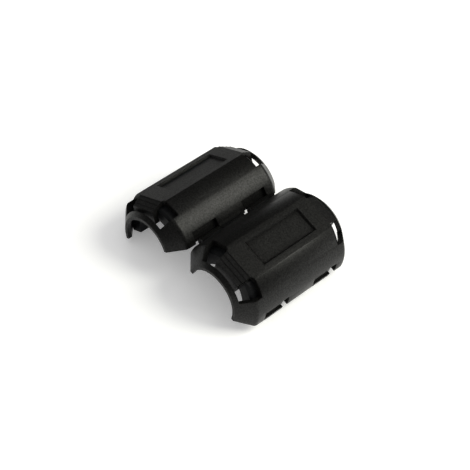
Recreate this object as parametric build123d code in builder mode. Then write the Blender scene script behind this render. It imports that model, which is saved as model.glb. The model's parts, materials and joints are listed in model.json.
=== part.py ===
from build123d import *
import math
import os

# A clip-on ferrite bead lying open and face down, like a low tent: two moulded half shells,
# hinged by C-shaped hooks on short pins, and a half-round ferrite core in each shell.
# Each half is modelled in its own frame, cable axis along Y and mating plane at Z = 0,
# and is then turned about the hinge line into the open pose.

# Overall sizes in millimetres
overall_length = 36.0
nose_length = 3.5
case_diameter = 23.5
cable_diameter = 13.0
case_wall = 1.45
overrun = 2.0

# Moulded shell: conical noses, a flat along the crown and a shallow recess in it
nose_clearance = 0.45
nose_lip_width = 0.8
nose_wall = 1.35
shoulder_radius = 1.3
flat_drop = 1.15
crown_wall = 1.35
crease_radius = 0.4
recess_width = 7.0
recess_length = 17.2
recess_shift = 0.45
recess_depth = 0.5
recess_slope = 0.4
edge_gap = 0.1
land_depth = 0.05

# Arched opening at each end, which leaves a clawed spring finger between two corner windows
window_inset = 2.1
window_low_angle = 41.0
ring_length = 0.95
slot_width = 1.0
finger_root_width = 8.4
finger_tip_width = 7.4
finger_corner_radius = 0.8
finger_slope_inset = 1.4
finger_fall = 1.45
finger_step = 0.12
finger_step_count = 3
claw_gap = 0.35

# Ferrite half core
core_fit = 0.2
core_end_gap = 0.1
core_chamfer = 0.55
core_face_gap = 0.03

# Edge notches, two along each edge, in which the hooks lie
notch_end_inset = 2.7
notch_length = 7.6
notch_height = 3.2

# Hinge: pins just outside the barrel, each held by a knuckle at the back end of its notch,
# and C-shaped hooks that snap round them
hinge_offset = 0.45
hinge_pin_diameter = 1.1
hinge_clearance = 0.07
hinge_hook_wall = 0.53
hinge_back_gap = 0.2
hinge_front_gap = 1.1
pin_inset = 0.2
knuckle_radius = 1.0
knuckle_clearance = 0.3
end_knuckle_length = 1.4
middle_knuckle_gap = 1.2
open_angle = 138.8

# Latch: snap bars and the barbed hooks that pass inside them
snap_bar_height = 0.65
snap_bar_thickness = 0.8
snap_clearance = 0.08
stem_clearance = 0.12
barb_height = 1.6
barb_lead_height = 0.8
barb_reach = 0.6
barb_tip_thickness = 0.7
latch_back_gap = 0.7
latch_front_gap = 1.4

# Radii and heights of the shell and of the core in it
case_radius = case_diameter / 2
cavity_radius = case_radius - case_wall
core_radius = cavity_radius - core_fit
hole_radius = cable_diameter / 2 + nose_clearance
lip_radius = hole_radius + nose_lip_width
flat_height = case_radius - flat_drop
cavity_height = flat_height - crown_wall
wall_middle = (cavity_radius + case_radius) / 2

# Places along the cable axis, from the middle outwards
half_length = overall_length / 2
half_barrel = half_length - nose_length
core_half_length = half_barrel - core_end_gap
window_start = half_barrel - window_inset
finger_slope_start = half_barrel - finger_slope_inset
claw_back = core_half_length + claw_gap
ring_back = half_length - ring_length
slot_start = ring_back - slot_width
notch_far_end = half_barrel - notch_end_inset
notch_near_end = notch_far_end - notch_length
notch_middle = (notch_near_end + notch_far_end) / 2

# Hinge line and the rings round it
hinge_reach = case_radius + hinge_offset
hinge_pin_radius = hinge_pin_diameter / 2
hinge_hook_bore = hinge_pin_radius + hinge_clearance
hinge_hook_radius = hinge_hook_bore + hinge_hook_wall

# Spans along the hinge line, back end first: the notches, the hooks in them and the knuckles behind
notch_spans = [(notch_far_end, notch_near_end), (-notch_near_end, -notch_far_end)]
hinge_hook_spans = [(back - hinge_back_gap, front + hinge_front_gap) for back, front in notch_spans]
knuckle_spans = [
    (notch_far_end + end_knuckle_length, notch_far_end),
    (notch_near_end - middle_knuckle_gap, -notch_near_end),
]
latch_hook_spans = [(back - latch_back_gap, front + latch_front_gap) for back, front in notch_spans]

# Levels of the latch hooks
stem_outer = case_radius - snap_bar_thickness - stem_clearance
stem_inner = cavity_radius
stem_root = notch_height + case_wall / 2
shelf = -edge_gap - snap_bar_height - snap_clearance
barb_bottom = shelf - barb_height

# Open pose: the catch half rests on a narrow land along its latch edge, the hook half on its barbs,
# so the two tilts, which add up to what the hinge lacks of a straight angle, follow from those.
tilt_sum = math.radians(180 - open_angle)
edge_reach = hinge_reach + case_radius
tip_reach = hinge_reach + stem_inner + barb_tip_thickness
level_rise = edge_gap + tip_reach * math.sin(tilt_sum) - barb_bottom * math.cos(tilt_sum)
level_run = edge_reach + tip_reach * math.cos(tilt_sum) + barb_bottom * math.sin(tilt_sum)
land_turn = math.asin(land_depth / math.hypot(level_rise, level_run))
catch_tilt = math.atan2(level_rise, level_run) + land_turn
hook_tilt = tilt_sum - catch_tilt
hinge_height = edge_reach * math.sin(catch_tilt) - edge_gap * math.cos(catch_tilt) - land_depth

# The inner face of a nose runs parallel to its outer cone, one wall further in.
cone_angle = math.atan2(case_radius - lip_radius, half_length - half_barrel)
cone_inset = nose_wall / math.sin(cone_angle)


def cone_depth(radius):
    """Distance along the cable axis at which a nose's inner cone has the given radius."""
    return half_barrel - cone_inset + (case_radius - radius) / math.tan(cone_angle)


# Solid outer form of a shell, turned about the cable axis and cut by the crown flat
with BuildPart() as outer_form:
    with BuildSketch(Plane.XY):
        with BuildLine():
            Polyline(
                (0, -half_length),
                (lip_radius, -half_length),
                (case_radius, -half_barrel),
                (case_radius, half_barrel),
                (lip_radius, half_length),
                (0, half_length),
                close=True,
            )
        make_face()
    revolve(axis=Axis.Y)
    shoulders = outer_form.edges().filter_by(GeomType.CIRCLE).group_by(SortBy.RADIUS)[-1]
    fillet(shoulders, shoulder_radius)
    split(bisect_by=Plane.XY.offset(edge_gap), keep=Keep.TOP)
    split(bisect_by=Plane.XY.offset(flat_height), keep=Keep.BOTTOM)

# Hollow of a shell: the core's seat, the inner cones of the noses and the cable holes
with BuildPart() as cavity:
    with BuildSketch(Plane.XY):
        with BuildLine():
            Polyline(
                (0, -half_length - overrun),
                (hole_radius, -half_length - overrun),
                (hole_radius, -cone_depth(hole_radius)),
                (cavity_radius, -cone_depth(cavity_radius)),
                (cavity_radius, cone_depth(cavity_radius)),
                (hole_radius, cone_depth(hole_radius)),
                (hole_radius, half_length + overrun),
                (0, half_length + overrun),
                close=True,
            )
        make_face()
    revolve(axis=Axis.Y)
    split(bisect_by=Plane.XY.offset(cavity_height), keep=Keep.BOTTOM)

# Plan of a spring finger, which widens in two round corners where it leaves the flat
with BuildPart() as finger_plan:
    with BuildSketch(Plane.XY):
        with BuildLine():
            Polyline(
                (-case_radius, window_start - overrun),
                (-case_radius, window_start),
                (-finger_root_width / 2, window_start),
                (-finger_tip_width / 2, slot_start),
                (finger_tip_width / 2, slot_start),
                (finger_root_width / 2, window_start),
                (case_radius, window_start),
                (case_radius, window_start - overrun),
                close=True,
            )
        plan = make_face()
        root_corners = [
            corner
            for corner in plan.vertices()
            if abs(corner.Y - window_start) < edge_gap and abs(corner.X) < case_radius - edge_gap
        ]
        fillet(root_corners, finger_corner_radius)
    extrude(amount=case_radius + overrun)

# Claw under a finger's tip, which keeps the core from sliding out
with BuildPart() as claw:
    with BuildSketch(Plane.XZ.offset(-claw_back)):
        with Locations((0, flat_height / 2)):
            Rectangle(finger_tip_width, flat_height)
        Circle(hole_radius, mode=Mode.SUBTRACT)
    extrude(amount=claw_back - slot_start)

# Arched opening of one nose: a sector round the cable axis, less the finger
with BuildPart() as arch:
    with BuildSketch(Plane.XY.rotated((0, -window_low_angle, 0))):
        with BuildLine():
            Polyline(
                (hole_radius / 2, window_start),
                (case_radius + overrun, window_start),
                (case_radius + overrun, ring_back),
                (hole_radius / 2, ring_back),
                close=True,
            )
        make_face()
    revolve(axis=Axis((0, 0, 0), (0, -1, 0)), revolution_arc=180 - 2 * window_low_angle)
    add(finger_plan.part, mode=Mode.SUBTRACT)

# Steps down the top of a finger, from the flat to its tip
with BuildPart() as finger_steps:
    tread = (slot_start - finger_slope_start) / finger_step_count
    fall = finger_fall / finger_step_count
    step_line = []
    for step in range(finger_step_count):
        start = finger_slope_start + step * tread
        level = flat_height - step * fall
        step_line += [(start, level - finger_step), (start + tread, level - fall)]
    with BuildSketch(Plane.YZ):
        with BuildLine():
            Polyline(
                (finger_slope_start, flat_height + overrun),
                *step_line,
                (slot_start, flat_height + overrun),
                close=True,
            )
        make_face()
    extrude(amount=finger_root_width / 2 + finger_corner_radius, both=True)

# Form that both case halves share
with BuildPart() as shell:
    add(outer_form.part)
    add(cavity.part, mode=Mode.SUBTRACT)
    for end_form, end_mode in (
        (claw.part, Mode.ADD),
        (arch.part, Mode.SUBTRACT),
        (finger_steps.part, Mode.SUBTRACT),
    ):
        add(end_form, mode=end_mode)
        add(mirror(end_form, about=Plane.XZ, mode=Mode.PRIVATE), mode=end_mode)
    creases = shell.edges().filter_by(Axis.Y).group_by(Axis.Z)[-1]
    fillet(creases, crease_radius)
    for inset, level in ((0, flat_height), (recess_slope, flat_height - recess_depth)):
        with BuildSketch(Plane.XY.offset(level)):
            with Locations((0, recess_shift)):
                Rectangle(recess_width - 2 * inset, recess_length - 2 * inset)
    loft(mode=Mode.SUBTRACT)

# Catch half in its own frame: hinge edge at +X, latch edge at -X
with BuildPart() as catch_form:
    add(shell.part)
    for side in (-1, 1):
        with Locations((case_radius, side * notch_middle, 0)):
            Box(case_radius, notch_length, 2 * notch_height, mode=Mode.SUBTRACT)
    for (knuckle_back, knuckle_front), (_, hook_front) in zip(knuckle_spans, hinge_hook_spans):
        with BuildSketch(Plane.XZ.offset(-knuckle_front)):
            with Locations((hinge_reach, 0)):
                Circle(knuckle_radius)
            with BuildLine():
                Polyline(
                    (wall_middle, edge_gap),
                    (wall_middle, 2 * knuckle_radius),
                    (hinge_reach, knuckle_radius),
                    (hinge_reach, -knuckle_radius),
                    close=True,
                )
            make_face()
        extrude(amount=knuckle_front - knuckle_back)
        with BuildSketch(Plane.XZ.offset(-knuckle_back)):
            with Locations((hinge_reach, 0)):
                Circle(hinge_pin_radius)
        extrude(amount=knuckle_back - hook_front - pin_inset)
    snap_bar_top = edge_gap + snap_bar_height
    for side in (-1, 1):
        with Locations((-case_radius, side * notch_middle, (snap_bar_top + notch_height) / 2)):
            Box(case_radius, notch_length, notch_height - snap_bar_top, mode=Mode.SUBTRACT)
        with Locations((-case_radius + snap_bar_thickness, side * notch_middle, 0)):
            Box(
                case_radius,
                notch_length,
                2 * notch_height,
                align=(Align.MIN, Align.CENTER, Align.CENTER),
                mode=Mode.SUBTRACT,
            )
    land_up = Vector(math.sin(catch_tilt), 0, math.cos(catch_tilt))
    land_place = Vector(-case_radius, 0, edge_gap) + land_up * land_depth
    split(bisect_by=Plane(land_place, z_dir=land_up), keep=Keep.TOP)

# Hook half in its own frame: hinge edge at -X, latch edge at +X
with BuildPart() as hook_form:
    add(shell.part)
    for knuckle_back, knuckle_front in knuckle_spans:
        relief_back = knuckle_back + hinge_back_gap
        with BuildSketch(Plane.XZ.offset(-relief_back)):
            with Locations((-hinge_reach, 0)):
                Circle(knuckle_radius + knuckle_clearance)
        extrude(amount=relief_back - knuckle_front + hinge_back_gap, mode=Mode.SUBTRACT)
    for hook_back, hook_front in hinge_hook_spans:
        with BuildSketch(Plane.XZ.offset(-hook_back)):
            with Locations((-hinge_reach, 0)):
                Circle(hinge_hook_radius)
            with Locations((-hinge_reach, 0)):
                Rectangle(
                    hinge_hook_radius,
                    hinge_hook_radius,
                    align=(Align.MIN, Align.MAX),
                    mode=Mode.SUBTRACT,
                )
        extrude(amount=hook_back - hook_front)
        with BuildSketch(Plane.XZ.offset(-hook_back)):
            with Locations((-hinge_reach, 0)):
                Circle(hinge_hook_bore)
        extrude(amount=hook_back - hook_front, mode=Mode.SUBTRACT)
    for side in (-1, 1):
        with Locations((case_radius, side * notch_middle, 0)):
            Box(case_radius, notch_length, 2 * notch_height, mode=Mode.SUBTRACT)
    for hook_back, hook_front in latch_hook_spans:
        with BuildSketch(Plane.XZ.offset(-hook_back)):
            with BuildLine():
                Polyline(
                    (stem_inner, stem_root),
                    (stem_outer, stem_root),
                    (stem_outer, shelf),
                    (stem_outer + barb_reach, shelf),
                    (stem_outer + barb_reach, barb_bottom + barb_lead_height),
                    (stem_inner + barb_tip_thickness, barb_bottom),
                    (stem_inner, barb_bottom),
                    close=True,
                )
            make_face()
        extrude(amount=hook_back - hook_front)

# Half core: a half-round ferrite sleeve with a flat crown and chamfered ends
with BuildPart() as core_form:
    with BuildSketch(Plane.XZ):
        Circle(core_radius)
        Circle(cable_diameter / 2, mode=Mode.SUBTRACT)
    extrude(amount=core_half_length, both=True)
    rims = core_form.edges().filter_by(GeomType.CIRCLE).group_by(SortBy.RADIUS)[-1]
    chamfer(rims, core_chamfer)
    split(bisect_by=Plane.XY.offset(core_face_gap), keep=Keep.TOP)
    split(bisect_by=Plane.XY.offset(cavity_height - core_fit), keep=Keep.BOTTOM)

# Open pose: both halves turned about the hinge line
hinge_x = hinge_reach * (math.cos(catch_tilt) - math.cos(hook_tilt)) / 2
hinge_place = Pos(hinge_x, 0, hinge_height)
catch_pose = hinge_place * Rot(0, -math.degrees(catch_tilt), 0) * Pos(-hinge_reach, 0, 0)
hook_pose = hinge_place * Rot(0, math.degrees(hook_tilt), 0) * Pos(hinge_reach, 0, 0)

os.makedirs("parts", exist_ok=True)

with BuildPart() as catch_case_half:
    add(catch_form.part.moved(catch_pose))
catch_case_half.part.label = "catch_case_half"
export_step(catch_case_half.part, "parts/catch_case_half.step")

with BuildPart() as hook_case_half:
    add(hook_form.part.moved(hook_pose))
hook_case_half.part.label = "hook_case_half"
export_step(hook_case_half.part, "parts/hook_case_half.step")

with BuildPart() as catch_core_half:
    add(core_form.part.moved(catch_pose))
catch_core_half.part.label = "catch_core_half"
export_step(catch_core_half.part, "parts/catch_core_half.step")

with BuildPart() as hook_core_half:
    add(core_form.part.moved(hook_pose))
hook_core_half.part.label = "hook_core_half"
export_step(hook_core_half.part, "parts/hook_core_half.step")
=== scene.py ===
import bpy
import json
import math
from mathutils import Matrix, Vector


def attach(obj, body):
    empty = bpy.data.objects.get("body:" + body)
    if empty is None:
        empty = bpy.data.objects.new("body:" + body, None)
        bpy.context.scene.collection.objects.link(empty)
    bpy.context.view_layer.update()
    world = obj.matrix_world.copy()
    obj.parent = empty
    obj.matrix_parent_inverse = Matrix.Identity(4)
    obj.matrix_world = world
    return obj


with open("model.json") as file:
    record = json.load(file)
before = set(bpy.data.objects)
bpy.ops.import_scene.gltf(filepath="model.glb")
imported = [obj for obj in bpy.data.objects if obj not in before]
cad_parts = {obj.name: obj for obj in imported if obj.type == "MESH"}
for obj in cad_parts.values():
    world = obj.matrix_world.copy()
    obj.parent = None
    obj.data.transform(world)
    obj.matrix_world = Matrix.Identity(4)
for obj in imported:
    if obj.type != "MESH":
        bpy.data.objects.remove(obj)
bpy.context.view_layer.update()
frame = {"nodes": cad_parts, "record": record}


# Ferrite half cores: two half-round sleeves pressed from iron oxide powder, sintered hard and
# ground on the ends and the mating faces. Each lies loose in its case half, under the spring fingers.
MM = 0.001
core_edge = 0.08 * MM
grain_width = 0.3 * MM


def srgb(code):
    """Linear RGBA of an sRGB hex colour."""
    parts = [int(code[i : i + 2], 16) / 255 for i in (1, 3, 5)]
    return tuple(c / 12.92 if c <= 0.04045 else ((c + 0.055) / 1.055) ** 2.4 for c in parts) + (1.0,)


def add_node(tree, kind, links=(), **settings):
    """One node with its settings; a link pairs an input name or number with an output socket or a value."""
    node = tree.nodes.new(kind)
    for name, value in settings.items():
        setattr(node, name, value)
    for socket, source in links:
        if hasattr(source, "node"):
            tree.links.new(source, node.inputs[socket])
        else:
            node.inputs[socket].default_value = source
    return node


def break_edges(piece, width):
    """Rounds a piece's sharp edges: its loose triangles are joined, then the edges get a small bevel."""
    weld = piece.modifiers.new("join_triangles", "WELD")
    weld.merge_threshold = 0.002 * MM
    bevel = piece.modifiers.new("broken_edges", "BEVEL")
    bevel.width = width
    bevel.segments = 2
    bevel.limit_method = "ANGLE"
    bevel.angle_limit = math.radians(28)
    bevel.harden_normals = False


def ground_ferrite():
    """Sintered ferrite: a dense dark grey ceramic, ground to a dull shine with a fine grain."""
    material = bpy.data.materials.new("ground_ferrite")
    material.use_nodes = True
    tree = material.node_tree
    shader = tree.nodes["Principled BSDF"]
    place = add_node(tree, "ShaderNodeTexCoord").outputs["Object"]
    # The real grain is too fine to show, so it is drawn just coarse enough to be seen.
    grain = add_node(
        tree,
        "ShaderNodeTexNoise",
        [("Vector", place), ("Scale", 1 / grain_width), ("Detail", 4)],
    )
    tone = add_node(tree, "ShaderNodeValToRGB", [("Fac", grain.outputs["Fac"])])
    for stop, position, code in zip(tone.color_ramp.elements, (0.3, 0.75), ("#0b0c0d", "#151618")):
        stop.position = position
        stop.color = srgb(code)
    tree.links.new(tone.outputs["Color"], shader.inputs["Base Color"])
    shader.inputs["Roughness"].default_value = 0.5
    shader.inputs["Specular IOR Level"].default_value = 0.12
    return material


ferrite = ground_ferrite()
for core_name in ("catch_core_half", "hook_core_half"):
    core = frame["nodes"][core_name]
    core.data.materials.clear()
    core.data.materials.append(ferrite)
    break_edges(core, core_edge)


# Case halves: two shells of black nylon, each moulded in one piece with its hooks, bars and
# fingers. The mould is spark eroded, so the outside is an even fine matte with soft edges.
case_edge = 0.12 * MM
speckle_width = 0.35 * MM
speckle_depth = 0.05 * MM
# How far the painted shade in tight corners reaches.
painted_shade_reach = 2.0 * MM


def moulded_nylon():
    """Black moulded nylon: a fine even matte with a broad soft sheen, and painted shade in tight corners."""
    material = bpy.data.materials.new("moulded_nylon")
    material.use_nodes = True
    tree = material.node_tree
    shader = tree.nodes["Principled BSDF"]
    place = add_node(tree, "ShaderNodeTexCoord").outputs["Object"]
    # The real matte is too fine to show, so its speckle is drawn just coarse enough to be seen.
    speckle = add_node(
        tree,
        "ShaderNodeTexNoise",
        [("Vector", place), ("Scale", 1 / speckle_width), ("Detail", 3)],
    )
    tone = add_node(tree, "ShaderNodeValToRGB", [("Fac", speckle.outputs["Fac"])])
    for stop, position, code in zip(tone.color_ramp.elements, (0.3, 0.7), ("#0a0a0a", "#151514")):
        stop.position = position
        stop.color = srgb(code)
    tree.links.new(tone.outputs["Color"], shader.inputs["Base Color"])
    bump = add_node(
        tree,
        "ShaderNodeBump",
        [("Height", speckle.outputs["Fac"]), ("Strength", 0.5), ("Distance", speckle_depth)],
    )
    tree.links.new(bump.outputs["Normal"], shader.inputs["Normal"])
    # The fine pits of the matte throw back less light than the open faces.
    pits = add_node(
        tree,
        "ShaderNodeMapRange",
        [
            ("Value", speckle.outputs["Fac"]),
            ("From Min", 0.35),
            ("From Max", 0.65),
            ("To Min", 0.13),
            ("To Max", 0.24),
        ],
    )
    tree.links.new(pits.outputs[0], shader.inputs["Specular IOR Level"])
    # Painted shade: an occlusion test dims the sheen in tight corners and crevices, standing in for the shade
    # that falls there.
    painted_corner_shade = add_node(tree, "ShaderNodeAmbientOcclusion", [("Distance", painted_shade_reach)], samples=6)
    painted_shade_level = add_node(
        tree,
        "ShaderNodeMapRange",
        [("Value", painted_corner_shade.outputs["AO"]), ("From Min", 0.83), ("From Max", 0.99), ("To Min", 0.08)],
    )
    tree.links.new(painted_shade_level.outputs[0], shader.inputs["Specular Tint"])
    shader.inputs["Roughness"].default_value = 0.38
    return material


nylon = moulded_nylon()
for case_name in ("catch_case_half", "hook_case_half"):
    case = frame["nodes"][case_name]
    case.data.materials.clear()
    case.data.materials.append(nylon)
    break_edges(case, case_edge)


# Notch skins: the hinge notches of the catch half are blind. A thin inner skin of the shell
# closes each of them behind the hinge hooks, so no light comes through beside the core.
cable_axis = Vector(frame["record"]["mounts"][0]["pos_m"])
hinge_centre = Vector(frame["record"]["behaviour"]["joints"][0]["pos_m"])
outward = (hinge_centre - cable_axis).normalized()
upward = outward.cross(Vector((0, 1, 0)))
skin_radii = (10.32 * MM, 10.8 * MM)
skin_low = 0.1 * MM
skin_high = 3.25 * MM
skin_start = 4.18 * MM
skin_end = 11.82 * MM
skin_steps = 6
skin_points = []
skin_faces = []
for skin_ends in ((-skin_end, -skin_start), (skin_start, skin_end)):
    first = len(skin_points)
    for step in range(skin_steps + 1):
        height = skin_low + (skin_high - skin_low) * step / skin_steps
        for radius in skin_radii:
            for end in skin_ends:
                across = math.sqrt(radius**2 - height**2)
                skin_points.append(cable_axis + outward * across + upward * height + Vector((0, end, 0)))
    # Each step has four points, the two ends of the inner face and then of the outer face.
    for step in range(skin_steps):
        low = first + 4 * step
        high = low + 4
        skin_faces += [(low + i, low + j, high + j, high + i) for i, j in ((1, 0), (2, 3), (0, 2), (3, 1))]
    last = first + 4 * skin_steps
    skin_faces += [(first, first + 1, first + 3, first + 2), (last, last + 2, last + 3, last + 1)]
skin_mesh = bpy.data.meshes.new("notch_skins")
skin_mesh.from_pydata(skin_points, [], skin_faces)
skin_mesh.materials.append(nylon)
skins = bpy.data.objects.new("notch_skins", skin_mesh)
bpy.context.collection.objects.link(skins)
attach(skins, "catch_half")


# Studio: a white paper floor that shows as the background and keeps the soft shadow, a dim room
# with a low white sweep round it and a soft fill overhead, and one soft lamp high on the right.
floor_reach = 3.0
paper_glow = 0.22
daylight_level = 0.55
fill_heading = (0.04, -0.34, 0.94)
fill_level = 0.6
lamp_direction = Vector((0.53, 0.509, 0.678))
lamp_distance = 0.56
lamp_width = 0.36
lamp_watts = 2.65


def seen_directly(tree):
    """1 for rays that show a surface, straight or in a reflection; 0 for rays that only carry light."""
    path = add_node(tree, "ShaderNodeLightPath")
    seen = path.outputs["Is Camera Ray"]
    for kind in ("Is Glossy Ray", "Is Transmission Ray"):
        either = add_node(tree, "ShaderNodeMath", [(0, seen), (1, path.outputs[kind])], operation="MAXIMUM")
        seen = either.outputs[0]
    return seen


floor_mesh = bpy.data.meshes.new("floor")
floor_corners = [(x * floor_reach, y * floor_reach, 0) for x, y in ((-1, -1), (1, -1), (1, 1), (-1, 1))]
floor_mesh.from_pydata(floor_corners, [], [(0, 1, 2, 3)])
floor = bpy.data.objects.new("floor", floor_mesh)
bpy.context.collection.objects.link(floor)
paper = bpy.data.materials.new("white_paper")
paper.use_nodes = True
tree = paper.node_tree
shader = tree.nodes["Principled BSDF"]
shader.inputs["Base Color"].default_value = srgb("#fafafa")
shader.inputs["Roughness"].default_value = 1.0
shader.inputs["Specular IOR Level"].default_value = 0.0
shader.inputs["Emission Color"].default_value = srgb("#ffffff")
glow = add_node(tree, "ShaderNodeMath", [(0, seen_directly(tree)), (1, paper_glow)], operation="MULTIPLY")
tree.links.new(glow.outputs[0], shader.inputs["Emission Strength"])
floor_mesh.materials.append(paper)

# Rays that carry light meet an even daylight; rays that show the room meet the sweep and the fill.
world = bpy.data.worlds.new("studio")
bpy.context.scene.world = world
world.use_nodes = True
tree = world.node_tree
daylight = tree.nodes["Background"]
daylight.inputs["Color"].default_value = srgb("#ffffff")
daylight.inputs["Strength"].default_value = daylight_level
sky = add_node(tree, "ShaderNodeTexCoord").outputs["Generated"]
heading = add_node(tree, "ShaderNodeSeparateXYZ", [(0, sky)])
sweep = add_node(tree, "ShaderNodeValToRGB", [("Fac", heading.outputs["Z"])])
for height in (0.03, 0.2):
    sweep.color_ramp.elements.new(height)
sweep.color_ramp.elements[-1].position = 0.4
for stop, grey in zip(sweep.color_ramp.elements, (1.0, 0.2, 0.05, 0.02)):
    stop.color = (grey, grey, grey, 1.0)
towards_fill = add_node(
    tree,
    "ShaderNodeVectorMath",
    [(0, sky), (1, fill_heading)],
    operation="DOT_PRODUCT",
)
fill = add_node(
    tree,
    "ShaderNodeMapRange",
    [("Value", towards_fill.outputs["Value"]), ("From Min", 0.8), ("From Max", 0.96), ("To Max", fill_level)],
)
brighter = add_node(
    tree,
    "ShaderNodeMath",
    [(0, sweep.outputs["Color"]), (1, fill.outputs[0])],
    operation="MAXIMUM",
)
room = add_node(tree, "ShaderNodeBackground", [("Color", brighter.outputs[0]), ("Strength", 1.0)])
both = add_node(
    tree,
    "ShaderNodeMixShader",
    [(0, seen_directly(tree)), (1, daylight.outputs[0]), (2, room.outputs[0])],
)
tree.links.new(both.outputs[0], tree.nodes["World Output"].inputs["Surface"])

light = bpy.data.lights.new("key_lamp", "AREA")
light.shape = "DISK"
light.size = lamp_width
light.energy = lamp_watts
light.color = srgb("#fffff5")[:3]
lamp = bpy.data.objects.new("key_lamp", light)
bpy.context.collection.objects.link(lamp)
lamp.location = lamp_direction * lamp_distance
lamp.rotation_euler = lamp_direction.to_track_quat("Z", "Y").to_euler()


# Camera: it stands at the photograph's angle, turned a little about its own line of sight, and
# is aimed so that the middle of the hinge falls on its own pixel.
image_pixels = 470
focal_pixels = 1460.5
camera_distance = 349.46 * MM
hinge_pixel = (233.96, 221.52)
back = Vector((0.48458, -0.50875, 0.71158)).normalized()
right = Vector((0.68913, 0.72306, 0.04767)).normalized()
up = back.cross(right)
lens = bpy.data.cameras.new("camera")
lens.sensor_width = 36.0
lens.lens = lens.sensor_width * focal_pixels / image_pixels
lens.shift_x = (image_pixels / 2 - hinge_pixel[0]) / image_pixels
lens.shift_y = (hinge_pixel[1] - image_pixels / 2) / image_pixels
lens.clip_start = 10 * MM
camera = bpy.data.objects.new("camera", lens)
bpy.context.collection.objects.link(camera)
turn = Matrix((right, up, back)).transposed().to_4x4()
camera.matrix_world = Matrix.Translation(hinge_centre + camera_distance * back) @ turn
bpy.context.scene.camera = camera
bpy.context.scene.view_settings.view_transform = "Standard"
